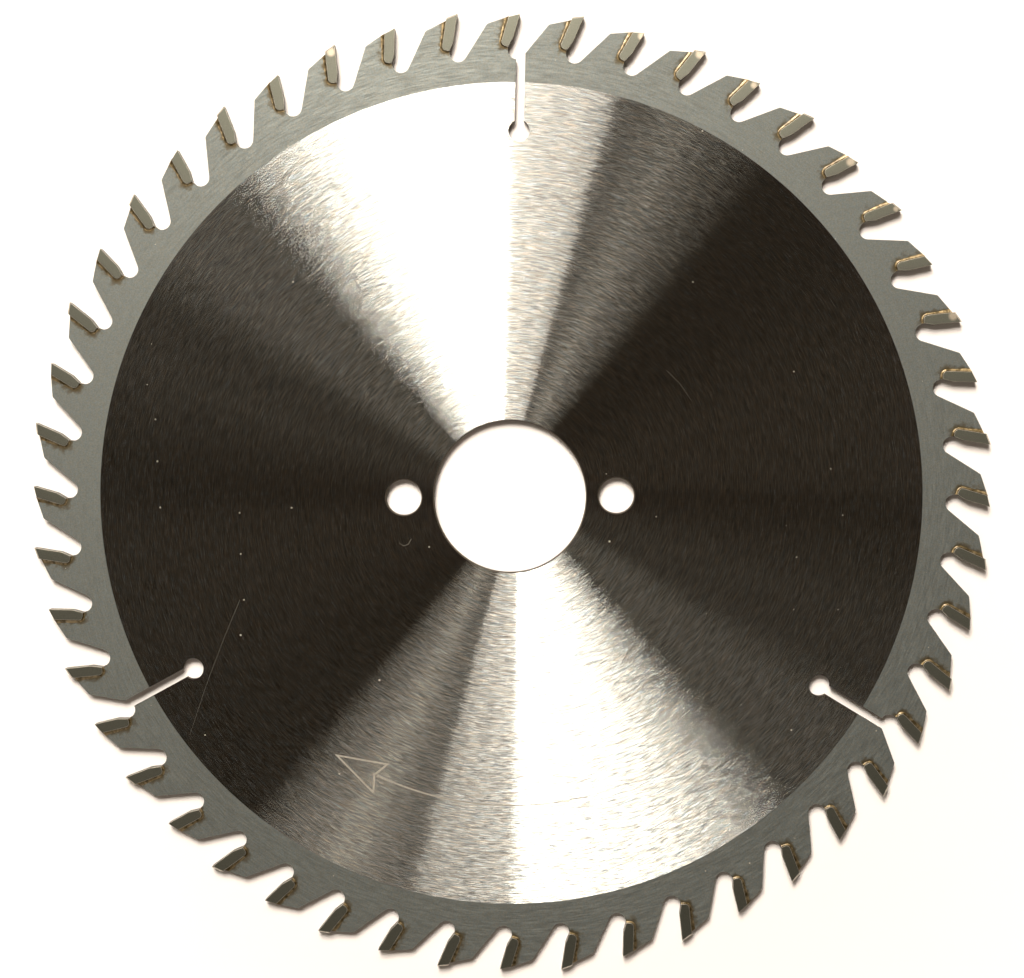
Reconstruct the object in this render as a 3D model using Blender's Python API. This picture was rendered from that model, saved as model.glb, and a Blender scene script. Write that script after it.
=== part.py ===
"""A circular saw blade: a steel plate with carbide tips brazed into seats round its rim.

The blade lies flat with its axis along +Z and the origin at the middle of the bore, halfway
through the plate. The drive pin holes are on the X axis. Angles round the blade are clock
angles: zero at +Y and growing clockwise as seen from +Z, the way the cutting faces point.
"""
import bpy
import bmesh
from math import atan2, cos, pi, radians, sin, sqrt, tan
from mathutils import Vector

# Blade, in metres
CUTTING_DIAMETER = 0.190
TOOTH_COUNT = 48
FIRST_TOOTH_ANGLE = radians(1.85)
PLATE_THICKNESS = 0.0016

# Bore, and the holes for the drive pins with the steel left between them and the bore
BORE_DIAMETER = 0.030
PIN_HOLE_DIAMETER = 0.007
PIN_HOLE_WALL = 0.0025
PIN_HOLE_COUNT = 2
HOLE_CHAMFER = 0.0002

# Carbide tips: the low ones are ground flat, the high ones have chamfered corners
TIP_WIDTH = 0.0026
TIP_LENGTH = 0.0074
TIP_THICKNESS = 0.0020
CUTTING_FACE_LENGTH = 0.0054
TIP_FOOT_SETBACK = 0.0005
TIP_CORNER_RADIUS = 0.0008
HOOK_ANGLE = radians(15)
TOP_RELIEF_ANGLE = radians(14)
SIDE_RELIEF_DOWN = radians(0.8)
SIDE_RELIEF_BACK = radians(1.5)
LOW_TIP_DROP = 0.00065
HIGH_TIP_CHAMFER = 0.0003

# Seats, tooth backs and gullets of the plate
BRAZE_GAP = 0.0003
SEAT_LIP = 0.0001
SEAT_TOP_DROP = 0.0012
BACK_SLOPE = radians(20)
KNEE_RADIUS = 0.0006
FLANK_ANGLE = radians(31)
GULLET_WALL = 0.0003
GULLET_RADIUS = 0.0017

# Expansion slots, each from a gullet in to a round hole
SLOT_COUNT = 3
SLOT_WIDTH = 0.0018
SLOT_DEPTH = 0.0139
SLOT_HOLE_DIAMETER = 0.0042
SLOT_OFFSET = 0.00015

# Straight steps along the round stretches
BORE_STEPS = 128
PIN_HOLE_STEPS = 48
SLOT_HOLE_STEPS = 32
GULLET_STEPS = 9
CORNER_STEPS = 4
KNEE_STEPS = 3

# Colour, roughness and metallic value of each material
STEEL_LOOK = ((0.36, 0.35, 0.33, 1.0), 0.38, 1.0)
CARBIDE_LOOK = ((0.20, 0.20, 0.18, 1.0), 0.45, 0.8)
SHARP_ANGLE = radians(25)

TIP_CIRCLE_RADIUS = CUTTING_DIAMETER / 2
PIN_CIRCLE_RADIUS = BORE_DIAMETER / 2 + PIN_HOLE_WALL + PIN_HOLE_DIAMETER / 2
TOOTH_PITCH = 2 * pi / TOOTH_COUNT
HALF_PLATE = PLATE_THICKNESS / 2
HALF_WIDTH = TIP_WIDTH / 2

# A tooth is drawn in its own plane. Its origin is the tooth's place on the tip circle, U runs
# along the circle clockwise, the way the tooth cuts, and V runs outwards.
FACE_DOWN = Vector((-sin(HOOK_ANGLE), -cos(HOOK_ANGLE)))
FACE_BACK = Vector((-cos(HOOK_ANGLE), sin(HOOK_ANGLE)))


def on_blank(down, back):
    """A point of the tip's blank: this far down the cutting face, and this far back from it."""
    return FACE_DOWN * down + FACE_BACK * back


def direction_angle(direction):
    """The angle of a direction, from +U towards +V."""
    return atan2(direction.y, direction.x)


def arc(centre, radius, start, end, steps):
    """Points on an arc, both ends included; its angles run from +U towards +V."""
    angles = [start + (end - start) * i / steps for i in range(steps + 1)]
    return [centre + radius * Vector((cos(a), sin(a))) for a in angles]


def crossing(point_a, direction_a, point_b, direction_b):
    """Where two lines of the plane meet."""
    span = direction_a.cross(direction_b)
    return point_a + direction_a * ((point_b - point_a).cross(direction_b) / span)


def seen_from_next_tooth(point):
    """A point of one tooth's plane, in the plane of the tooth one pitch clockwise of it."""
    middle = Vector((0.0, -TIP_CIRCLE_RADIUS))
    arm = point - middle
    turn_u = Vector((cos(TOOTH_PITCH), -sin(TOOTH_PITCH)))
    turn_v = Vector((sin(TOOTH_PITCH), cos(TOOTH_PITCH)))
    return middle + Vector((arm.dot(turn_u), arm.dot(turn_v)))


def blank_corner():
    """The centre of the tip's round back corner, which the seat's round corner shares."""
    return on_blank(TIP_LENGTH - TIP_CORNER_RADIUS, TIP_THICKNESS - TIP_CORNER_RADIUS)


def tip_nose(drop):
    """The cutting edge, on the line of the cutting face and this far below the tip circle."""
    return FACE_DOWN * (drop / cos(HOOK_ANGLE))


def tip_outline(drop):
    """The tip's edge from its nose, down the cutting face, round the foot and up the back."""
    nose = tip_nose(drop)
    land = Vector((-cos(TOP_RELIEF_ANGLE), -sin(TOP_RELIEF_ANGLE)))
    back_top = nose + land * (TIP_THICKNESS / land.dot(FACE_BACK))
    down_angle = direction_angle(FACE_DOWN)
    foot_round = arc(blank_corner(), TIP_CORNER_RADIUS, down_angle, down_angle - pi / 2, CORNER_STEPS)
    bend = on_blank(CUTTING_FACE_LENGTH, 0.0)
    foot = on_blank(TIP_LENGTH, TIP_FOOT_SETBACK)
    return [nose, bend, foot, *foot_round, back_top]


def seat_top():
    """The plate's outer corner behind the tip, on the back wall of the seat."""
    depth = TIP_THICKNESS + BRAZE_GAP
    return Vector((-(depth + SEAT_TOP_DROP * sin(HOOK_ANGLE)) / cos(HOOK_ANGLE), -SEAT_TOP_DROP))


def seat_lip():
    """The plate's corner between seat and gullet, just ahead of the tip's foot."""
    return on_blank(TIP_LENGTH + BRAZE_GAP, TIP_FOOT_SETBACK - SEAT_LIP)


def gullet_centre():
    """The centre of the round gullet bottom in front of a tooth."""
    return seat_lip() + Vector((GULLET_RADIUS, -GULLET_WALL))


def knee_round(knee, flank, back):
    """The rounded corner where the gullet's flank turns into the back of the tooth."""
    turn = flank.angle(back)
    inward = Vector((flank.y, -flank.x))
    centre = knee - flank * (KNEE_RADIUS * tan(turn / 2)) + inward * KNEE_RADIUS
    start = direction_angle(-inward)
    return arc(centre, KNEE_RADIUS, start, start - turn, KNEE_STEPS)


def tooth_outline():
    """The plate's edge over one pitch, clockwise: knee, back, seat, gullet and up to the next flank."""
    flank = Vector((sin(FLANK_ANGLE), cos(FLANK_ANGLE)))
    into_plate = Vector((flank.y, -flank.x))
    flank_foot = seen_from_next_tooth(gullet_centre()) + into_plate * GULLET_RADIUS
    back = Vector((cos(BACK_SLOPE), sin(BACK_SLOPE)))
    knee = crossing(flank_foot, flank, seat_top(), back)

    down_angle = direction_angle(FACE_DOWN)
    seat_radius = TIP_CORNER_RADIUS + BRAZE_GAP
    seat_round = arc(blank_corner(), seat_radius, down_angle - pi / 2, down_angle, CORNER_STEPS)

    next_flank_angle = direction_angle(into_plate) - TOOTH_PITCH
    gullet = arc(gullet_centre(), GULLET_RADIUS, -pi, next_flank_angle, GULLET_STEPS)
    return [*knee_round(knee, flank, back), seat_top(), *seat_round, seat_lip(), *gullet]


def tooth_angle(number):
    return FIRST_TOOTH_ANGLE + number * TOOTH_PITCH


def on_blade(point, clock_angle):
    """A point of the plane of the tooth at this clock angle, in the blade's own X and Y."""
    reach = TIP_CIRCLE_RADIUS + point.y
    return Vector((reach * sin(clock_angle) + point.x * cos(clock_angle),
                   reach * cos(clock_angle) - point.x * sin(clock_angle)))


def form_from_rings(rings):
    """A closed form: equal rings of points, each joined to the next, with a flat face at both ends."""
    form = bmesh.new()
    loops = [[form.verts.new(point) for point in ring] for ring in rings]
    for lower, upper in zip(loops, loops[1:]):
        for i in range(len(lower)):
            j = (i + 1) % len(lower)
            form.faces.new((lower[i], lower[j], upper[j], upper[i]))
    form.faces.new(loops[0])
    form.faces.new(loops[-1])
    bmesh.ops.recalc_face_normals(form, faces=form.faces)
    return form


def mesh_from_form(name, form):
    mesh = bpy.data.meshes.new(name)
    form.to_mesh(mesh)
    form.free()
    shade(mesh)
    return mesh


def shade(mesh):
    mesh.shade_smooth()
    mesh.set_sharp_from_angle(angle=SHARP_ANGLE)


def flat_ring(points, z):
    return [(point.x, point.y, z) for point in points]


def circle_ring(radius, z, steps):
    angles = [2 * pi * i / steps for i in range(steps)]
    return [(radius * cos(a), radius * sin(a), z) for a in angles]


def hole_cutter_mesh(name, diameter, steps):
    """A cutter for a round hole with a small chamfer at both faces of the plate."""
    radius = diameter / 2
    mouth = radius + 2 * HOLE_CHAMFER
    above = HALF_PLATE + HOLE_CHAMFER
    below = HALF_PLATE - HOLE_CHAMFER
    rings = [circle_ring(mouth, -above, steps), circle_ring(radius, -below, steps),
             circle_ring(radius, below, steps), circle_ring(mouth, above, steps)]
    return mesh_from_form(name, form_from_rings(rings))


def slot_cutter_mesh(name):
    """A cutter for an expansion slot: a round hole with a straight way out into the gullet."""
    radius = SLOT_HOLE_DIAMETER / 2
    half = SLOT_WIDTH / 2
    gullet = gullet_centre()
    centre = Vector((SLOT_OFFSET, gullet.y - GULLET_RADIUS - SLOT_DEPTH))
    neck_angle = atan2(sqrt(radius ** 2 - half ** 2), half)
    round_hole = arc(centre, radius, neck_angle, -pi - neck_angle, SLOT_HOLE_STEPS)
    mouth = [Vector((SLOT_OFFSET - half, gullet.y)), Vector((SLOT_OFFSET + half, gullet.y))]
    rings = [flat_ring(mouth + round_hole, z) for z in (-PLATE_THICKNESS, PLATE_THICKNESS)]
    return mesh_from_form(name, form_from_rings(rings))


def principled(name, look):
    colour, roughness, metallic = look
    material = bpy.data.materials.new(name)
    material.use_nodes = True
    shader = material.node_tree.nodes["Principled BSDF"]
    shader.inputs["Base Color"].default_value = colour
    shader.inputs["Roughness"].default_value = roughness
    shader.inputs["Metallic"].default_value = metallic
    material.diffuse_color = colour
    return material


def add_object(name, mesh, parent=None):
    item = bpy.data.objects.new(name, mesh)
    bpy.context.scene.collection.objects.link(item)
    item.parent = parent
    return item


def place_at_tooth(item, clock_angle):
    """Moves an object drawn in a tooth's plane out to the tip circle."""
    item.location = (*on_blade(Vector((0.0, 0.0)), clock_angle), 0.0)
    item.rotation_euler = (0.0, 0.0, -clock_angle)


def plate_cutters(blade):
    """The bore, the pin holes and the expansion slots, as cutters in their places."""
    cutters = [add_object("bore_cutter", hole_cutter_mesh("bore_cutter", BORE_DIAMETER, BORE_STEPS), blade)]
    pin_hole = hole_cutter_mesh("pin_hole_cutter", PIN_HOLE_DIAMETER, PIN_HOLE_STEPS)
    for number in range(PIN_HOLE_COUNT):
        angle = 2 * pi * number / PIN_HOLE_COUNT
        cutter = add_object(f"pin_hole_cutter_{number + 1}", pin_hole, blade)
        cutter.location = (PIN_CIRCLE_RADIUS * cos(angle), PIN_CIRCLE_RADIUS * sin(angle), 0.0)
        cutters.append(cutter)
    slot = slot_cutter_mesh("slot_cutter")
    for number in range(SLOT_COUNT):
        cutter = add_object(f"slot_cutter_{number + 1}", slot, blade)
        place_at_tooth(cutter, tooth_angle(round(number * TOOTH_COUNT / SLOT_COUNT)))
        cutters.append(cutter)
    return cutters


def build_plate(blade, steel):
    """The plate: its toothed outline at full thickness, with the holes and slots cut out."""
    tooth = tooth_outline()
    outline = [on_blade(point, tooth_angle(number)) for number in range(TOOTH_COUNT) for point in tooth]
    rings = [flat_ring(outline, z) for z in (-HALF_PLATE, HALF_PLATE)]
    plate = add_object("blade_plate", mesh_from_form("plate_outline", form_from_rings(rings)), blade)
    cutters = plate_cutters(blade)
    for cutter in cutters:
        cutter.hide_render = True
        cutter.display_type = "WIRE"
        cut = plate.modifiers.new(cutter.name, "BOOLEAN")
        cut.operation = "DIFFERENCE"
        cut.solver = "EXACT"
        cut.object = cutter

    # The cuts are made final, so that the edges they leave can be marked sharp.
    ready = plate.evaluated_get(bpy.context.evaluated_depsgraph_get())
    plate.data = bpy.data.meshes.new_from_object(ready)
    plate.data.name = "blade_plate"
    plate.modifiers.clear()
    for cutter in cutters:
        bpy.data.objects.remove(cutter, do_unlink=True)
    shade(plate.data)
    plate.data.materials.clear()
    plate.data.materials.append(steel)


def half_width_at(point, nose):
    """Half the tip's width: full at the cutting edge, and relieved down and back from it."""
    down = (point - nose).dot(FACE_DOWN)
    back = (point - nose).dot(FACE_BACK)
    return HALF_WIDTH - down * tan(SIDE_RELIEF_DOWN) - back * tan(SIDE_RELIEF_BACK)


def tip_mesh(name, drop, chamfer, carbide):
    """A tip in its tooth's plane; a chamfer cuts both long edges of its top land."""
    outline = tip_outline(drop)
    nose = outline[0]
    rings = [[(point.x, point.y, side * half_width_at(point, nose)) for point in outline] for side in (-1, 1)]
    form = form_from_rings(rings)
    if chamfer > 0:
        form.verts.ensure_lookup_table()
        last = len(outline) - 1
        land_edges = []
        for start in (0, len(outline)):
            land_edges.append(form.edges.get((form.verts[start], form.verts[start + last])))
        bmesh.ops.bevel(form, geom=land_edges, offset=chamfer, offset_type="OFFSET", segments=1,
                        profile=0.5, affect="EDGES")
    mesh = mesh_from_form(name, form)
    mesh.materials.append(carbide)
    return mesh


def build_tips(blade, carbide):
    """The tips, low and high by turns, each in its seat round the rim."""
    low_tip = tip_mesh("low_tip", LOW_TIP_DROP, 0.0, carbide)
    high_tip = tip_mesh("high_tip", 0.0, HIGH_TIP_CHAMFER, carbide)
    for number in range(TOOTH_COUNT):
        kind, mesh = ("high", high_tip) if number % 2 else ("low", low_tip)
        tip = add_object(f"tip_{number + 1:02d}_{kind}", mesh, blade)
        place_at_tooth(tip, tooth_angle(number))


def build_blade():
    for old in list(bpy.data.objects):
        bpy.data.objects.remove(old, do_unlink=True)
    blade = add_object("saw_blade", None)
    build_plate(blade, principled("ground_steel", STEEL_LOOK))
    build_tips(blade, principled("tungsten_carbide", CARBIDE_LOOK))


build_blade()
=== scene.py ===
import math
import random

import bmesh
import bpy
from mathutils import Matrix, Vector


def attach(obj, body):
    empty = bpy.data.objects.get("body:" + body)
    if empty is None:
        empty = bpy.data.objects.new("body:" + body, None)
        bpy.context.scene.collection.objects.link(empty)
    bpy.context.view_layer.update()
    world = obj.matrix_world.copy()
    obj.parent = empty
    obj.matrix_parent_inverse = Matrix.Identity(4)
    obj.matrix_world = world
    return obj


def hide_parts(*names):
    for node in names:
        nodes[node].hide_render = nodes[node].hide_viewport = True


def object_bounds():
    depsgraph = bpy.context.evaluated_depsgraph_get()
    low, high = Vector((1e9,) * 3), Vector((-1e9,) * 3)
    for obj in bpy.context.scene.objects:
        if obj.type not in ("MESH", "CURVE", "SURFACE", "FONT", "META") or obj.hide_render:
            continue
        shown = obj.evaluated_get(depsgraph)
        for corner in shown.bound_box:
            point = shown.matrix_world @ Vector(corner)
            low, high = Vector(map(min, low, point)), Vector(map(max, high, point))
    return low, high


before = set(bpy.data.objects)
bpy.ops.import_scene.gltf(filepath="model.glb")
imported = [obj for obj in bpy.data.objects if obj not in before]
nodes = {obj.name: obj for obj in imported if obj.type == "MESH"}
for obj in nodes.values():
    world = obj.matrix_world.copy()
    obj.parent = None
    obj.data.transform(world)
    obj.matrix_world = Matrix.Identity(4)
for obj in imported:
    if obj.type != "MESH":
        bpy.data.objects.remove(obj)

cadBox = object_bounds()
mm = 0.001

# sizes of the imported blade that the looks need, in millimetres and degrees
blade = {
    "tipCircleRadius": 95.0,
    "toothCount": 48,
    "firstToothAngle": 1.85,      # clock angle: zero at +Y, growing clockwise
    "halfPlate": 0.8,
    "hookAngle": 15.0,
    "tipLength": 7.4,
    "tipThickness": 2.0,
    "footSetback": 0.5,
    "cornerRadius": 0.8,
    "brazeGap": 0.3,
    "seatTopDown": 1.86,          # how far down the blank the plate's outer corner lies
    "landSlope": 20.0,            # the plate's outer edge falls away behind the tip
}


def hexToLinear(colour):
    values = [int(colour[i:i + 2], 16) / 255 for i in (1, 3, 5)]
    return [v / 12.92 if v <= 0.04045 else ((v + 0.055) / 1.055) ** 2.4 for v in values] + [1.0]


def addNode(tree, kind, inputs=(), **settings):
    # one node with its settings; an input is a value, or the node or socket that feeds it
    node = tree.nodes.new("ShaderNode" + kind)
    for name, value in settings.items():
        setattr(node, name, value)
    for key, value in (inputs.items() if isinstance(inputs, dict) else enumerate(inputs)):
        source = value.outputs[0] if isinstance(value, bpy.types.Node) else value
        if isinstance(source, bpy.types.NodeSocket):
            tree.links.new(source, node.inputs[key])
        else:
            node.inputs[key].default_value = source
    return node


def around(middle, depth):
    # the lower and upper end of a range node's output
    return {"To Min": middle - depth / 2, "To Max": middle + depth / 2}


def newMaterial(name):
    material = bpy.data.materials.new(name)
    material.use_nodes = True
    material.node_tree.nodes.clear()
    return material, material.node_tree


def inMillimetres(tree):
    # where a point of the blade is, in millimetres from the middle of the bore
    place = addNode(tree, "TexCoord").outputs["Object"]
    return addNode(tree, "VectorMath", {0: place, "Scale": 1 / mm}, operation="SCALE")


def seenDirectly(tree):
    # 1 where the eye, a reflection or glass looks, and 0 for the light that falls on things
    ray = addNode(tree, "LightPath").outputs
    seen = addNode(tree, "Math", [ray["Is Camera Ray"], ray["Is Glossy Ray"]], operation="MAXIMUM")
    return addNode(tree, "Math", [seen, ray["Is Transmission Ray"]], operation="MAXIMUM")


def addPiece(name, mesh):
    # a piece of the blade, in its place
    piece = bpy.data.objects.new(name, mesh)
    bpy.context.scene.collection.objects.link(piece)
    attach(piece, "root")
    return piece


def onBlank(down, back):
    # a point of the tooth's own plane: this far down the cutting face, and this far back from it
    hook = math.radians(blade["hookAngle"])
    return Vector((-math.sin(hook) * down - math.cos(hook) * back, -math.cos(hook) * down + math.sin(hook) * back))


def onBlade(point, clockAngle):
    # a point of the plane of the tooth at this clock angle, in the blade's own X and Y
    reach = blade["tipCircleRadius"] + point.y
    return Vector((reach * math.sin(clockAngle) + point.x * math.cos(clockAngle),
                   reach * math.cos(clockAngle) - point.x * math.sin(clockAngle)))


def toothAngle(number):
    return math.radians(blade["firstToothAngle"] + number * 360.0 / blade["toothCount"])


# the camera looks almost straight down, as in the photograph
photoView = {
    "lens": 74.63,             # mm on a 36 mm sensor
    "distance": 0.420,         # m from the middle of the bore
    "tiltBack": 2.6,           # degrees off the straight look down
    "tiltSide": -1.1,
    "roll": 0.55,
    "shiftX": 0.00195,
    "shiftY": 0.0071,
}


def makeCamera(view):
    data = bpy.data.cameras.new("photoCamera")
    data.sensor_width = 36.0
    data.lens = view["lens"]
    data.shift_x = view["shiftX"]
    data.shift_y = view["shiftY"]
    data.clip_start = 0.01
    data.clip_end = 50.0
    camera = bpy.data.objects.new("photoCamera", data)
    bpy.context.scene.collection.objects.link(camera)
    turn = (Matrix.Rotation(math.radians(view["tiltBack"]), 4, "X")
            @ Matrix.Rotation(math.radians(view["tiltSide"]), 4, "Y")
            @ Matrix.Rotation(math.radians(view["roll"]), 4, "Z")).transposed()
    camera.matrix_world = turn @ Matrix.Translation((0.0, 0.0, view["distance"]))
    bpy.context.scene.camera = camera


makeCamera(photoView)
bpy.context.scene.view_settings.view_transform = "Standard"
print("camera ready")

# flat lamps a metre up, facing down; each lies to the left of an edge that runs away from the blade
lampHeight = 1.0
lampStep = 0.004               # lamps that overlap hang a little apart, or the light of one is lost
studioLamps = {
    "keyPanel": {"edge": ((-0.009, 0.365), (-0.012, 1.05)), "width": 0.375, "radiance": 30.5, "colour": "#FFF2E4"},
    "sidePanel": {"edge": ((0.094, 0.352), (0.270, 1.017)), "width": 0.26, "radiance": 6.1, "colour": "#FFF0E2"},
    "middlePanel": {"edge": ((0.073, 0.357), (0.210, 1.031)), "width": 0.21, "radiance": 2.7, "colour": "#FFF0E2"},
    "innerPanel": {"edge": ((0.035, 0.362), (0.101, 1.047)), "width": 0.12, "radiance": 2.3, "colour": "#FFF0E2"},
    "lowPanel": {"edge": ((-0.243, -0.494), (-0.822, -1.007)), "width": 0.30, "radiance": 2.7, "colour": "#FFEDDB"},
    "narrowPanel": {"edge": ((-0.235, -0.442), (-0.493, -0.927)), "width": 0.07, "radiance": 0.8, "colour": "#FFF2DC"},
    "leftPanel": {"edge": ((-0.283, 0.283), (-0.636, 0.636)), "width": 0.17, "radiance": 1.05, "colour": "#FFEEDB"},
    "farLeftPanel": {"edge": ((-0.340, 0.212), (-0.763, 0.477)), "width": 0.26, "radiance": 0.26, "colour": "#FFEEDB"},
    "farRightPanel": {"edge": ((0.40, -0.035), (0.90, -0.079)), "width": 0.35, "radiance": 0.11, "colour": "#FFE2C8"},
}


def makeLamp(name, lamp, height):
    start, end = (Vector(point) for point in lamp["edge"])
    outward = (end - start).normalized()
    leftward = Vector((-outward.y, outward.x))
    length = (end - start).length
    data = bpy.data.lights.new(name, "AREA")
    data.shape = "RECTANGLE"
    data.size = lamp["width"]
    data.size_y = length
    data.energy = lamp["radiance"] * math.pi * lamp["width"] * length      # the watts for this radiance
    data.color = hexToLinear(lamp["colour"])[:3]
    panel = bpy.data.objects.new(name, data)
    bpy.context.scene.collection.objects.link(panel)
    middle = (start + end) / 2 + leftward * lamp["width"] / 2
    panel.location = (middle.x, middle.y, height)
    panel.rotation_euler = (0.0, 0.0, math.atan2(-outward.x, outward.y))
    panel.visible_camera = False


for lampNumber, (lampName, lampValues) in enumerate(studioLamps.items()):
    makeLamp(lampName, lampValues, lampHeight + lampStep * lampNumber)

# the room is dim and warm overhead, and looks white down at the horizon behind the table
studioRoom = {
    "overhead": (0.062, 0.043, 0.029),      # linear light
    "whiteBelow": 0.29,        # the height in the sky, from 0 at the horizon to 1 overhead
    "dimAbove": 0.34,
    "unevenness": 1.6,
    "patchScale": 2.5,
}


def makeRoom(look):
    world = bpy.data.worlds.new("studioRoom")
    bpy.context.scene.world = world
    world.use_nodes = True
    tree = world.node_tree
    tree.nodes.clear()
    direction = addNode(tree, "TexCoord").outputs["Generated"]
    height = addNode(tree, "SeparateXYZ", [direction]).outputs["Z"]
    white = addNode(tree, "MapRange", {"Value": height, "From Min": look["whiteBelow"], "From Max": look["dimAbove"],
                                       "To Min": 1.0, "To Max": 0.0}, interpolation_type="SMOOTHSTEP")
    white = addNode(tree, "Math", [white, seenDirectly(tree)], operation="MULTIPLY")
    patch = addNode(tree, "TexNoise", {"Vector": direction, "Scale": look["patchScale"], "Detail": 1.0}).outputs["Fac"]
    level = addNode(tree, "MapRange", {"Value": patch, **around(1.0, look["unevenness"])})
    dim = addNode(tree, "VectorMath", {0: look["overhead"], "Scale": level}, operation="SCALE")
    colour = addNode(tree, "Mix", {0: white, 6: dim, 7: (1.0, 1.0, 1.0, 1.0)}, data_type="RGBA")
    light = addNode(tree, "Background", [colour.outputs[2], 1.0])
    addNode(tree, "OutputWorld", [light])


makeRoom(studioRoom)
print("lamps and room ready")

# a white table right under the lowest tips
tableLook = {
    "drop": 0.02,              # mm under the tips
    "halfSize": 30.0,          # m
    "colour": "#FCFCFC",
    "glowFrom": 0.097,         # m from the blade's axis, where the paper begins to glow
    "glowTo": 0.50,
}


def makeWhitePaper(look):
    # matt white paper: an even white that keeps the blade's soft shadow, and far off it glows plain white
    material, tree = newMaterial("whitePaper")
    place = addNode(tree, "TexCoord").outputs["Object"]
    reach = addNode(tree, "VectorMath", [place], operation="LENGTH").outputs["Value"]
    glow = addNode(tree, "MapRange", {"Value": reach, "From Min": look["glowFrom"], "From Max": look["glowTo"]})
    strength = addNode(tree, "Math", [glow, seenDirectly(tree)], operation="MULTIPLY")
    paper = addNode(tree, "BsdfDiffuse", [hexToLinear(look["colour"])])
    light = addNode(tree, "Emission", {"Strength": strength})
    addNode(tree, "OutputMaterial", [addNode(tree, "AddShader", [paper, light])])
    return material


def makeTable(look):
    half = look["halfSize"]
    mesh = bpy.data.meshes.new("whiteTable")
    corners = [(-half, -half, 0.0), (half, -half, 0.0), (half, half, 0.0), (-half, half, 0.0)]
    mesh.from_pydata(corners, [], [(0, 1, 2, 3)])
    mesh.materials.append(makeWhitePaper(look))
    table = bpy.data.objects.new("whiteTable", mesh)
    bpy.context.scene.collection.objects.link(table)
    table.location.z = cadBox[0].z - look["drop"] * mm


makeTable(tableLook)
print("table ready")

# the plate keeps its solid, and gets one material with three finishes
plateLook = {
    "groundRadius": 81.2,         # mm; the ground disc ends here and the matt ring begins
    "spiral": 1.4,                # mm per radian that the grinding marks run outwards
    "groundColour": "#949896",
    "groundRoughness": 0.115,
    "wallStep": 0.13,             # the grooves' walls lean by steps of this slope, from inwards to outwards
    "wallShares": (0.43, 0.75, 1.0, 1.0, 1.0, 1.0, 0.95, 0.80, 0.30),
    "grooveWidth": 0.10,          # the real grooves are finer than a pixel, and these are drawn to show
    "grooveLength": 1.7,
    "grooveJitter": 0.80,
    "grooveWobble": 0.026,
    "wobbleWidth": 0.16,
    "wobbleLength": 3.0,
    "streakWidth": 0.15,
    "streakLength": 2.4,
    "streakDepth": 2.3,
    "streakTint": 0.45,
    "dustSpacing": 9.0,           # specks of dust lie about this far apart, and this share of them shows
    "dustShare": 0.30,
    "dustSize": 0.17,
    "dustColour": "#A8A498",
    "ringColour": "#6E7370",
    "ringRoughness": 0.61,
    "ringShine": 0.11,            # the share of the ring that has fine turning marks
    "ringShineRoughness": 0.35,
    "ringGrain": 0.22,
    "ringGrainDepth": 0.7,
    "ringTint": 0.25,
    "ringTintScale": 2.2,
    "ringMarkWidth": 0.25,
    "ringMarkLength": 3.0,
    "ringMarkSlope": 0.42,
    "ringEdge": 0.05,             # mm that the step from disc to ring is softened to each side
    # the cut walls' dull dark, which also serves as painted shade along the rims of holes and slots
    "dullWallAndShadeColour": "#57524A",
    "flatFrom": 0.95,             # a face that is less level than this counts as a cut wall, so the holes' chamfers also take the walls' dark colour and its painted shade
    "stainColour": "#4C4128",
    "stainDepth": 0.9,
    "stainLeast": 0.15,           # mm that the stain reaches past the seat, at least and at most
    "stainMost": 2.0,
    "stainLumps": 0.9,            # lumps of its ragged edge to the millimetre
    "toothStart": 5.5,            # degrees before a tooth's tip where the gap between two teeth is halved
}


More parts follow.
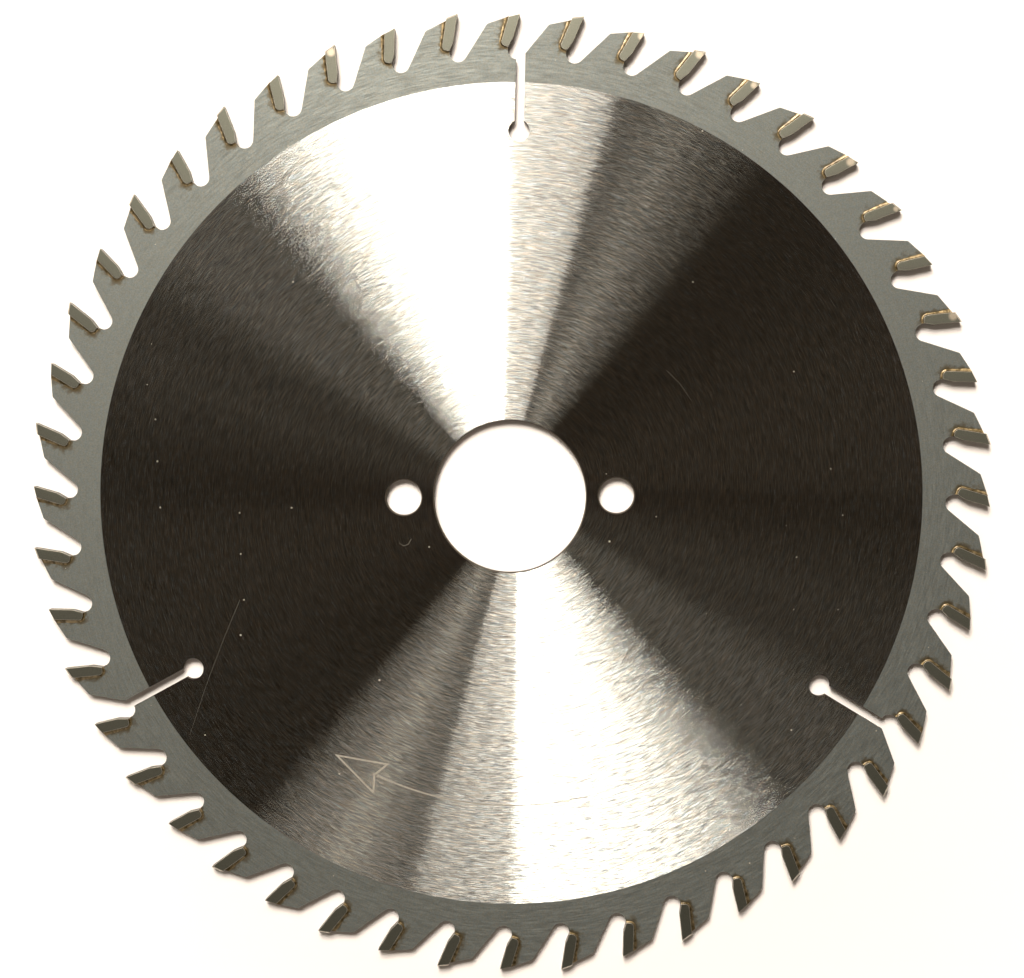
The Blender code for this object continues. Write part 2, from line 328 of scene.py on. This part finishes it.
def makePlateSteel(look):
    # hardened tool steel. The disc is ground round and round: each groove's walls lean in and out, which
    # draws a lamp out into a bright cone across the disc. The ring is matt and even, from blasting.
    # The cut walls and the holes' small chamfers are dull and dark: partly the cut steel's own dullness, partly
    # painted shade along the rims of holes and slots. The disc's streaky colour is partly the steel's own tone and
    # partly painted shade of its grooves.
    material, tree = newMaterial("groundToolSteel")
    shape = addNode(tree, "NewGeometry").outputs
    place = inMillimetres(tree)
    axes = addNode(tree, "SeparateXYZ", [place]).outputs
    flat = addNode(tree, "CombineXYZ", [axes["X"], axes["Y"]])
    radius = addNode(tree, "VectorMath", [flat], operation="LENGTH").outputs["Value"]

    # across runs at right angles to the grinding marks, and groove counts millimetres that way
    clockwise = addNode(tree, "VectorMath", [flat, (0.0, 0.0, 1.0)], operation="CROSS_PRODUCT")
    lean = addNode(tree, "Math", [look["spiral"], radius], operation="DIVIDE")
    sideways = addNode(tree, "VectorMath", {0: clockwise, "Scale": lean}, operation="SCALE")
    outwards = addNode(tree, "VectorMath", [flat, sideways], operation="ADD")
    across = addNode(tree, "VectorMath", [outwards], operation="NORMALIZE")
    turn = addNode(tree, "Math", [axes["Y"], axes["X"]], operation="ARCTAN2")
    groove = addNode(tree, "Math", [turn, -look["spiral"], radius], operation="MULTIPLY_ADD")

    def markNoise(width, length, detail, seed):
        # noise drawn out along the grinding marks, with its sizes in millimetres
        along = addNode(tree, "VectorMath", {0: flat, "Scale": 1 / length}, operation="SCALE")
        count = addNode(tree, "Math", [groove, 1 / width, seed], operation="MULTIPLY_ADD")
        spot = addNode(tree, "VectorMath", [along, addNode(tree, "CombineXYZ", {"Z": count})], operation="ADD")
        noise = addNode(tree, "TexNoise", {"Vector": spot, "Scale": 1.0, "Detail": detail, "Roughness": 0.6})
        return noise.outputs["Fac"]

    # the streaks lighten and darken the disc's colour along the marks: partly the steel's own uneven tone, partly
    # painted shade of the grooves shadowing each other
    streaks = markNoise(look["streakWidth"], look["streakLength"], detail=3.0, seed=37.0)
    streak = addNode(tree, "MapRange", {"Value": streaks, **around(1.0, look["streakDepth"])})
    tints = markNoise(look["streakWidth"] * 0.8, look["streakLength"], detail=1.0, seed=91.0)
    tint = addNode(tree, "MapRange", {"Value": tints, **around(0.0, look["streakTint"])})
    red = addNode(tree, "Math", [tint, 1.0], operation="ADD")
    blue = addNode(tree, "Math", [1.0, tint], operation="SUBTRACT")
    tinted = addNode(tree, "CombineXYZ", [red, 1.0, blue])
    tinted = addNode(tree, "VectorMath", {0: tinted, "Scale": streak}, operation="SCALE")
    groundColour = addNode(tree, "VectorMath", [tinted, hexToLinear(look["groundColour"])[:3]], operation="MULTIPLY")
    grooves = markNoise(look["grooveWidth"], look["grooveLength"], detail=1.0, seed=0.0)
    jitter = addNode(tree, "MapRange", {"Value": grooves, **around(0.0, look["grooveJitter"])})
    bends = markNoise(look["wobbleWidth"], look["wobbleLength"], detail=1.0, seed=17.0)
    wobble = addNode(tree, "MapRange", {"Value": bends, **around(0.0, look["grooveWobble"])})
    sideTilt = addNode(tree, "VectorMath", [clockwise], operation="NORMALIZE")
    sideTilt = addNode(tree, "VectorMath", {0: sideTilt, "Scale": wobble}, operation="SCALE")
    upward = addNode(tree, "VectorMath", [shape["Normal"], sideTilt], operation="ADD")
    ground, total = None, 0.0
    for i, share in enumerate(look["wallShares"]):
        slope = (i - (len(look["wallShares"]) - 1) / 2) * look["wallStep"]
        wallSlope = addNode(tree, "Math", [jitter, slope], operation="ADD")
        tilt = addNode(tree, "VectorMath", {0: across, "Scale": wallSlope}, operation="SCALE")
        normal = addNode(tree, "VectorMath", [upward, tilt], operation="ADD")
        normal = addNode(tree, "VectorMath", [normal], operation="NORMALIZE")
        walls = addNode(tree, "BsdfPrincipled", {"Base Color": groundColour, "Metallic": 1.0,
                                                 "Roughness": look["groundRoughness"], "Anisotropic": 1.0,
                                                 "Normal": normal, "Tangent": across})
        total += share
        ground = walls if ground is None else addNode(tree, "MixShader", [share / total, ground, walls])

    # the matt ring: a fine even grain, and faint turning marks that show where the light is strong
    grain = addNode(tree, "TexNoise", {"Vector": place, "Scale": 1 / look["ringGrain"], "Detail": 2.0}).outputs["Fac"]
    mottle = addNode(tree, "MapRange", {"Value": grain, **around(1.0, look["ringGrainDepth"])})
    marks = markNoise(look["ringMarkWidth"], look["ringMarkLength"], detail=2.0, seed=53.0)
    mark = addNode(tree, "MapRange", {"Value": marks, **around(0.0, look["ringMarkSlope"])})
    markTilt = addNode(tree, "VectorMath", {0: across, "Scale": mark}, operation="SCALE")
    ringNormal = addNode(tree, "VectorMath", [shape["Normal"], markTilt], operation="ADD")
    ringNormal = addNode(tree, "VectorMath", [ringNormal], operation="NORMALIZE")
    warmth = addNode(tree, "TexNoise", {"Vector": place, "Scale": look["ringTintScale"], "Detail": 1.0}).outputs["Fac"]
    warm = addNode(tree, "MapRange", {"Value": warmth, **around(1.0, look["ringTint"])})
    cool = addNode(tree, "Math", [2.0, warm], operation="SUBTRACT")
    shade = addNode(tree, "CombineXYZ", [warm, 1.0, cool])
    shade = addNode(tree, "VectorMath", {0: shade, "Scale": mottle}, operation="SCALE")
    plain = addNode(tree, "VectorMath", [shade, hexToLinear(look["ringColour"])[:3]], operation="MULTIPLY")

    # a brown heat stain lies along each seat: distance from the seat's edge, in the plane of the nearest tooth
    clock = addNode(tree, "Math", [axes["X"], axes["Y"]], operation="ARCTAN2")
    pitch = 2 * math.pi / blade["toothCount"]
    start = math.radians(blade["firstToothAngle"] - look["toothStart"])
    past = addNode(tree, "Math", [clock, start], operation="SUBTRACT")
    past = addNode(tree, "Math", [past, pitch, 0.0], operation="WRAP")
    own = addNode(tree, "Math", [past, math.radians(-look["toothStart"])], operation="ADD")
    toothX = addNode(tree, "Math", [radius, addNode(tree, "Math", [own], operation="SINE")], operation="MULTIPLY")
    toothY = addNode(tree, "Math", [radius, addNode(tree, "Math", [own], operation="COSINE"),
                                    -blade["tipCircleRadius"]], operation="MULTIPLY_ADD")
    hook = math.radians(blade["hookAngle"])
    onTooth = addNode(tree, "CombineXYZ", [toothX, toothY])
    faceDown = (-math.sin(hook), -math.cos(hook), 0.0)
    faceBack = (-math.cos(hook), math.sin(hook), 0.0)
    down = addNode(tree, "VectorMath", [onTooth, faceDown], operation="DOT_PRODUCT")
    back = addNode(tree, "VectorMath", [onTooth, faceBack], operation="DOT_PRODUCT")
    pastCorner = []
    for node, corner in ((down, blade["tipLength"]), (back, blade["tipThickness"])):
        beyond = addNode(tree, "Math", [node.outputs["Value"], corner - blade["cornerRadius"]], operation="SUBTRACT")
        pastCorner.append(addNode(tree, "Math", [beyond, 0.0], operation="MAXIMUM"))
    seat = addNode(tree, "VectorMath", [addNode(tree, "CombineXYZ", pastCorner)], operation="LENGTH").outputs["Value"]
    edge = blade["cornerRadius"] + blade["brazeGap"]
    ragged = addNode(tree, "TexNoise", {"Vector": place, "Scale": look["stainLumps"], "Detail": 3.0}).outputs["Fac"]
    reach = addNode(tree, "MapRange", {"Value": ragged, "From Min": 0.3, "From Max": 0.7,
                                       "To Min": edge + look["stainLeast"], "To Max": edge + look["stainMost"]})
    stain = addNode(tree, "MapRange", {"Value": seat, "From Min": edge, "From Max": reach,
                                       "To Min": look["stainDepth"], "To Max": 0.0}, interpolation_type="SMOOTHSTEP")
    behind = addNode(tree, "MapRange", {"Value": back.outputs["Value"], "From Min": 0.1, "From Max": 0.6})
    stain = addNode(tree, "Math", [stain, behind], operation="MULTIPLY")
    ringColour = addNode(tree, "Mix", {0: stain, 6: plain, 7: hexToLinear(look["stainColour"])}, data_type="RGBA")
    blasted = addNode(tree, "BsdfPrincipled", {"Base Color": ringColour.outputs[2], "Metallic": 1.0,
                                               "Roughness": look["ringRoughness"], "Normal": ringNormal})
    lathed = addNode(tree, "BsdfPrincipled", {"Base Color": ringColour.outputs[2], "Metallic": 1.0,
                                              "Roughness": look["ringShineRoughness"], "Anisotropic": 0.8,
                                              "Normal": ringNormal, "Tangent": across})
    ring = addNode(tree, "MixShader", [look["ringShine"], blasted, lathed])

    # one dull colour for the cut walls and chamfers: partly their own dullness, partly painted shade along the rims
    cutWallAndShade = addNode(tree, "BsdfDiffuse", [hexToLinear(look["dullWallAndShadeColour"])])
    outer = addNode(tree, "MapRange", {"Value": radius, "From Min": look["groundRadius"] - look["ringEdge"],
                                       "From Max": look["groundRadius"] + look["ringEdge"]})
    face = addNode(tree, "MixShader", [outer, ground, ring])
    facing = addNode(tree, "SeparateXYZ", [shape["True Normal"]]).outputs["Z"]
    level = addNode(tree, "Math", [facing], operation="ABSOLUTE")
    upright = addNode(tree, "Math", [level, look["flatFrom"]], operation="LESS_THAN")
    solid = addNode(tree, "MixShader", [upright, face, cutWallAndShade])

    # a few pale specks of dust
    specks = addNode(tree, "TexVoronoi", {"Vector": flat, "Scale": 1 / look["dustSpacing"]},
                     voronoi_dimensions="2D").outputs
    chance = addNode(tree, "SeparateXYZ", [specks["Color"]]).outputs
    size = addNode(tree, "Math", [chance["Y"], look["dustSize"] / look["dustSpacing"]], operation="MULTIPLY")
    close = addNode(tree, "Math", [specks["Distance"], size], operation="LESS_THAN")
    shown = addNode(tree, "Math", [chance["X"], look["dustShare"]], operation="LESS_THAN")
    speck = addNode(tree, "Math", [close, shown], operation="MULTIPLY")
    dust = addNode(tree, "BsdfDiffuse", [hexToLinear(look["dustColour"])])
    addNode(tree, "OutputMaterial", [addNode(tree, "MixShader", [speck, solid, dust])])
    return material


nodes["blade_plate"].material_slots[0].material = makePlateSteel(plateLook)
print("plate ready")

# carbide tips: the solids' own shapes with slightly rounded edges
tipLook = {
    "edgeRound": 0.05,           # mm
    "edgeFrom": 15.0,            # degrees between two faces, from where their edge is rounded
    "mergeWithin": 0.002,        # mm
    "colour": "#595B53",
    "roughness": 0.46,
    "grain": 0.25,
    "grainDepth": 0.5,
    "facetGlints": ((-34.2, 87.4, 0.9), (26.7, 89.7, 0.9), (37.9, 86.0, 0.9), (48.4, 79.9, 0.7), (67.2, 64.8, 0.9),
             (76.0, 55.6, 0.6), (87.1, 34.6, 0.9)),      # x, y and radius of the pale spots by some cutting edges: painted highlights where ground facets catch the light
    "facetGlintColour": "#9C9586",
    "bevelGlintColour": "#B5AFA2",    # painted highlight on the narrow slanting faces and rounded edges, which catch the light more than the wide ones
    "slantFrom": 0.2,            # how level a face is when it counts as slanting
    "slantTo": 0.95,
}


def makeCarbide(look):
    # ground tungsten carbide: a dense satin grey with a faint olive cast. The pale spots by some cutting edges and the
    # pale slanting faces and edges are painted highlights.
    material, tree = newMaterial("groundCarbide")
    place = inMillimetres(tree)
    grain = addNode(tree, "TexNoise", {"Vector": place, "Scale": 1 / look["grain"], "Detail": 2.0}).outputs["Fac"]
    mottle = addNode(tree, "MapRange", {"Value": grain, **around(1.0, look["grainDepth"])})
    # painted highlights: pale spots where the ground facets by some cutting edges catch the light
    facetGlints = 0.0
    for x, y, size in look["facetGlints"]:
        away = addNode(tree, "VectorMath", [place, (x, y, 1.0)], operation="DISTANCE").outputs["Value"]
        spot = addNode(tree, "MapRange", {"Value": away, "From Min": size * 0.6, "From Max": size * 1.2,
                                          "To Min": 1.0, "To Max": 0.0})
        facetGlints = addNode(tree, "Math", [spot, facetGlints], operation="MAXIMUM")
    ground = addNode(tree, "Mix", {0: facetGlints, 6: hexToLinear(look["colour"]), 7: hexToLinear(look["facetGlintColour"])},
                     data_type="RGBA")
    # painted highlight on the slanting faces and the rounded edges
    facing = addNode(tree, "SeparateXYZ", [addNode(tree, "NewGeometry").outputs["True Normal"]]).outputs["Z"]
    level = addNode(tree, "Math", [facing], operation="ABSOLUTE")
    notUpright = addNode(tree, "Math", [level, look["slantFrom"]], operation="GREATER_THAN")
    notFlat = addNode(tree, "Math", [level, look["slantTo"]], operation="LESS_THAN")
    slanting = addNode(tree, "Math", [notUpright, notFlat], operation="MULTIPLY")
    ground = addNode(tree, "Mix", {0: slanting, 6: ground.outputs[2], 7: hexToLinear(look["bevelGlintColour"])},
                     data_type="RGBA")
    colour = addNode(tree, "VectorMath", {0: ground.outputs[2], "Scale": mottle}, operation="SCALE")
    shader = addNode(tree, "BsdfPrincipled", {"Base Color": colour, "Metallic": 1.0, "Roughness": look["roughness"]})
    addNode(tree, "OutputMaterial", [shader])
    return material


def makeTip(name, material, look):
    # the solid's own form, with its flat faces whole again and every edge slightly rounded
    form = bmesh.new()
    form.from_mesh(nodes[name].data)
    bmesh.ops.remove_doubles(form, verts=form.verts, dist=look["mergeWithin"] * mm)
    bmesh.ops.dissolve_limit(form, angle_limit=math.radians(1.0), verts=form.verts, edges=form.edges)
    bmesh.ops.recalc_face_normals(form, faces=form.faces)
    corners = [edge for edge in form.edges if edge.calc_face_angle(0.0) > math.radians(look["edgeFrom"])]
    bmesh.ops.bevel(form, geom=corners, offset=look["edgeRound"] * mm, segments=2, profile=0.5, affect="EDGES",
                    clamp_overlap=True)
    mesh = bpy.data.meshes.new(f"carbide_{name}")
    form.to_mesh(mesh)
    form.free()
    mesh.shade_smooth()
    mesh.materials.append(material)
    tip = addPiece(f"carbide_{name}", mesh)
    flatter = tip.modifiers.new("flatFaces", "WEIGHTED_NORMAL")
    flatter.weight = 100
    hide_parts(name)


carbide = makeCarbide(tipLook)
for tipName in sorted(name for name in nodes if name.startswith("tip_")):
    makeTip(tipName, carbide, tipLook)
print("tips ready")

# braze fills the gap round each tip's foot and back, and spreads in a fillet over the plate
brazeLook = {
    "colour": "#8C7D5E",
    "tarnish": "#4A4029",
    "tarnishScale": 1.1,        # patches of tarnish and ripples to the millimetre
    "rippleScale": 3.5,
    "rippleHeight": 0.1,        # mm
    "rippleStrength": 0.35,
    "roughness": 0.48,
    "fluxGloss": 0.12,          # roughness of the clear flux glaze on it
    "fluxWeight": 0.5,
    "onTip": 1.06,              # mm from the middle of the plate, where the fillet ends on the tip's side
    "footReach": 0.42,          # mm from the tip that it spreads over the plate
    "topReach": 0.80,
    "filletCurve": 2.2,
    "intoTip": 0.03,            # mm that it goes into the tip, so that no gap shows
    "overPlate": 0.004,         # mm that its thin edge stands on the plate
    "edgeSink": 0.010,          # mm that its edge goes down into the plate, and then its wall
    "wallSink": 0.012,
    "wallBite": 0.01,
    "pastSeat": 0.25,           # mm that it runs on past the seat, before the land cuts it off
    "underLand": 0.02,          # mm that it ends below the land
    "mergeWithin": 0.001,
    "unevenness": 0.08,
    "waves": 5,                 # stretches of the seam that each go their own way
    "pathSteps": 26,
    "filletSteps": 5,
}


def seamPath(look):
    # points along the tip's edge from its foot to its outer end, with the way out from it and the share done
    corner = (blade["tipLength"] - blade["cornerRadius"], blade["tipThickness"] - blade["cornerRadius"])
    footRun = corner[1] - blade["footSetback"]
    bend = blade["cornerRadius"] * math.pi / 2
    backRun = corner[0] - blade["seatTopDown"] + look["pastSeat"]
    steps = look["pathSteps"]
    places = []
    for i in range(steps + 1):
        along = (footRun + bend + backRun) * i / steps
        if along < footRun:
            place, outward = (blade["tipLength"], blade["footSetback"] + along), (1.0, 0.0)
        elif along < footRun + bend:
            angle = (along - footRun) / blade["cornerRadius"]
            outward = (math.cos(angle), math.sin(angle))
            place = (corner[0] + blade["cornerRadius"] * outward[0], corner[1] + blade["cornerRadius"] * outward[1])
        else:
            place, outward = (corner[0] - (along - footRun - bend), blade["tipThickness"]), (0.0, 1.0)
        places.append((onBlank(*place), onBlank(*outward), i / steps))
    return places


def makeSilverBraze(look):
    # silver brazing alloy: a soft golden metal with a rippled skin, under a thin glaze of flux that glints white
    material, tree = newMaterial("silverBraze")
    place = inMillimetres(tree)
    lumps = addNode(tree, "TexNoise", {"Vector": place, "Scale": look["rippleScale"], "Detail": 2.0}).outputs["Fac"]
    ripple = addNode(tree, "Bump", {"Strength": look["rippleStrength"], "Distance": look["rippleHeight"] * mm,
                                   "Height": lumps})
    dulled = addNode(tree, "TexNoise", {"Vector": place, "Scale": look["tarnishScale"], "Detail": 3.0}).outputs["Fac"]
    dulled = addNode(tree, "MapRange", {"Value": dulled, "From Min": 0.38, "From Max": 0.62})
    colour = addNode(tree, "Mix", {0: dulled, 6: hexToLinear(look["colour"]), 7: hexToLinear(look["tarnish"])},
                     data_type="RGBA")
    shader = addNode(tree, "BsdfPrincipled", {"Base Color": colour.outputs[2], "Metallic": 1.0,
                                              "Roughness": look["roughness"], "Normal": ripple,
                                              "Coat Weight": look["fluxWeight"], "Coat Roughness": look["fluxGloss"]})
    addNode(tree, "OutputMaterial", [shader])
    return material


def filletSection(spread, look):
    # half the braze's section, as pairs of distance from the tip and height: fillet, plate, gap wall
    section = []
    for j in range(look["filletSteps"] + 1):
        share = j / look["filletSteps"]
        rise = (look["onTip"] - blade["halfPlate"]) * (1 - share) ** look["filletCurve"]
        gap = (spread + look["intoTip"]) * share - look["intoTip"]
        section.append((gap, blade["halfPlate"] + look["overPlate"] + rise))
    return section + [(spread, blade["halfPlate"] - look["edgeSink"]),
                      (blade["brazeGap"] + look["wallBite"], blade["halfPlate"] - look["wallSink"])]


def makeSeam(number, material, look):
    draw = random.Random(700 + number)
    waves = [draw.uniform(-look["unevenness"], look["unevenness"]) for _ in range(look["waves"] + 2)]
    seatTop = onBlank(blade["seatTopDown"], blade["tipThickness"] + blade["brazeGap"])
    landSlope = math.tan(math.radians(blade["landSlope"]))
    downhill = onBlank(1.0, 0.0)
    form = bmesh.new()
    rings = []
    for point, outward, share in seamPath(look):
        step, part = divmod(share * look["waves"], 1)
        wave = waves[int(step)] * (1 - part) + waves[int(step) + 1] * part
        half = filletSection(look["footReach"] + (look["topReach"] - look["footReach"]) * share ** 2 + wave, look)
        ring = []
        for gap, height in half + [(gap, -height) for gap, height in reversed(half)]:
            spot = point + outward * gap
            overLand = spot.y + look["underLand"] - seatTop.y - (spot.x - seatTop.x) * landSlope
            spot += downhill * max(0.0, overLand) / (landSlope * downhill.x - downhill.y)
            flat = onBlade(spot, toothAngle(number))
            ring.append(form.verts.new((flat.x * mm, flat.y * mm, height * mm)))
        rings.append(ring)
    for first, second in zip(rings, rings[1:]):
        for i in range(len(first)):
            j = (i + 1) % len(first)
            form.faces.new((first[i], first[j], second[j], second[i]))
    form.faces.new(rings[0])
    form.faces.new(rings[-1])
    bmesh.ops.remove_doubles(form, verts=form.verts, dist=look["mergeWithin"] * mm)
    bmesh.ops.recalc_face_normals(form, faces=form.faces)
    mesh = bpy.data.meshes.new(f"braze_{number + 1:02d}")
    form.to_mesh(mesh)
    form.free()
    mesh.shade_smooth()
    mesh.set_sharp_from_angle(angle=math.radians(60))
    mesh.materials.append(material)
    addPiece(mesh.name, mesh)


silverBraze = makeSilverBraze(brazeLook)
for toothNumber in range(blade["toothCount"]):
    makeSeam(toothNumber, silverBraze, brazeLook)
print("braze ready")

# the rotation arrow is etched on the ground disc: thin pale lines, drawn as flat ribbons on its face
arrowLook = {
    "lineWidth": 0.34,                      # mm
    "tailEndWidth": 0.08,
    "lift": 0.006,
    "tip": (-34.9, -51.25),
    "outerBarb": (-27.75, -58.7),
    "innerBarb": (-24.87, -53.1),
    "notch": (-27.5, -55.2),
    "tailRadius": 61.5,
    "tailFrom": 206.0,                      # clock angles
    "tailTo": 155.0,
    "tailSteps": 60,
    "colour": "#AFACA1",
    "grainScale": 2.0,
    "grainDepth": 0.8,
    "roughness": 0.5,
}


def makeEtchedSteel(look):
    # etched steel: a fine matt pale grey that stays even where the ground steel turns dark
    material, tree = newMaterial("etchedSteel")
    place = inMillimetres(tree)
    grain = addNode(tree, "TexNoise", {"Vector": place, "Scale": look["grainScale"], "Detail": 3.0}).outputs["Fac"]
    bite = addNode(tree, "MapRange", {"Value": grain, **around(1.0, look["grainDepth"])})
    colour = addNode(tree, "VectorMath", {0: hexToLinear(look["colour"])[:3], "Scale": bite}, operation="SCALE")
    shader = addNode(tree, "BsdfPrincipled", {"Base Color": colour, "Metallic": 0.6, "Roughness": look["roughness"]})
    addNode(tree, "OutputMaterial", [shader])
    return material


def addRibbon(form, points, width, endWidth, height, closed):
    # a flat line through the points, which goes from one width to the other
    count = len(points)
    sides = []
    for i, point in enumerate(points):
        before = points[i - 1] if i > 0 or closed else None
        after = points[(i + 1) % count] if i < count - 1 or closed else None
        first = (point - before).normalized() if before is not None else (after - point).normalized()
        second = (after - point).normalized() if after is not None else first
        side = Vector((-(first + second).y, (first + second).x)).normalized()
        here = width + (endWidth - width) * i / (count - 1)
        # wider round a bend, up to a limit
        reach = here / 2 / max(0.35, side.dot(Vector((-first.y, first.x))))
        sides.append([form.verts.new((*(point + side * reach * sign) * mm, height * mm)) for sign in (-1, 1)])
    for i in range(count if closed else count - 1):
        j = (i + 1) % count
        form.faces.new((sides[i][0], sides[j][0], sides[j][1], sides[i][1]))


def ribbonMesh(name, form, material):
    # the finished ribbons, all facing up
    for face in form.faces:
        face.normal_update()
        if face.normal.z < 0:
            face.normal_flip()
    mesh = bpy.data.meshes.new(name)
    form.to_mesh(mesh)
    form.free()
    mesh.materials.append(material)
    return mesh


def makeArrow(look):
    form = bmesh.new()
    height = blade["halfPlate"] + look["lift"]
    head = [Vector(look[key]) for key in ("tip", "outerBarb", "notch", "innerBarb")]
    addRibbon(form, head, look["lineWidth"], look["lineWidth"], height, True)
    tail = []
    for i in range(look["tailSteps"] + 1):
        clockAngle = math.radians(look["tailFrom"] + (look["tailTo"] - look["tailFrom"]) * i / look["tailSteps"])
        tail.append(Vector((math.sin(clockAngle), math.cos(clockAngle))) * look["tailRadius"])
    addRibbon(form, tail, look["lineWidth"], look["tailEndWidth"], height, False)
    addPiece("rotationArrow", ribbonMesh("rotationArrow", form, makeEtchedSteel(look)))


makeArrow(arrowLook)
print("arrow ready")

# stray scratches from use, as very thin ribbons
scratchLook = {
    "lift": 0.004,                          # mm
    "colour": "#8F8B80",
    "faintColour": "#3A3833",
    "roughness": 0.6,
    "lines": (                              # the width and the points of each
        (0.035, ((-53.8, -20.1), (-57.2, -28.0), (-60.6, -36.6), (-64.2, -47.0))),
        (0.09, ((-19.6, -8.2), (-20.2, -9.3), (-21.2, -9.6), (-22.0, -9.0))),
        (0.05, ((-24.0, -73.6), (-23.1, -74.6), (-22.0, -74.9))),
        (0.03, ((31.0, 24.6), (33.6, 22.0), (35.9, 18.6))),
    ),
}


def makeScoredSteel(look):
    # bare scored steel: thin dull lines, paler than the ground face where that is dark
    material, tree = newMaterial("scoredSteel")
    place = inMillimetres(tree)
    depth = addNode(tree, "TexNoise", {"Vector": place, "Scale": 1.5, "Detail": 2.0}).outputs["Fac"]
    colour = addNode(tree, "Mix", {0: depth, 6: hexToLinear(look["faintColour"]), 7: hexToLinear(look["colour"])},
                     data_type="RGBA")
    shader = addNode(tree, "BsdfPrincipled", {"Base Color": colour.outputs[2], "Metallic": 0.6,
                                              "Roughness": look["roughness"]})
    addNode(tree, "OutputMaterial", [shader])
    return material


def makeScratches(look):
    form = bmesh.new()
    height = blade["halfPlate"] + look["lift"]
    for width, points in look["lines"]:
        addRibbon(form, [Vector(point) for point in points], width, width / 2, height, False)
    addPiece("scratches", ribbonMesh("scratches", form, makeScoredSteel(look)))


makeScratches(scratchLook)
print("scratches ready")
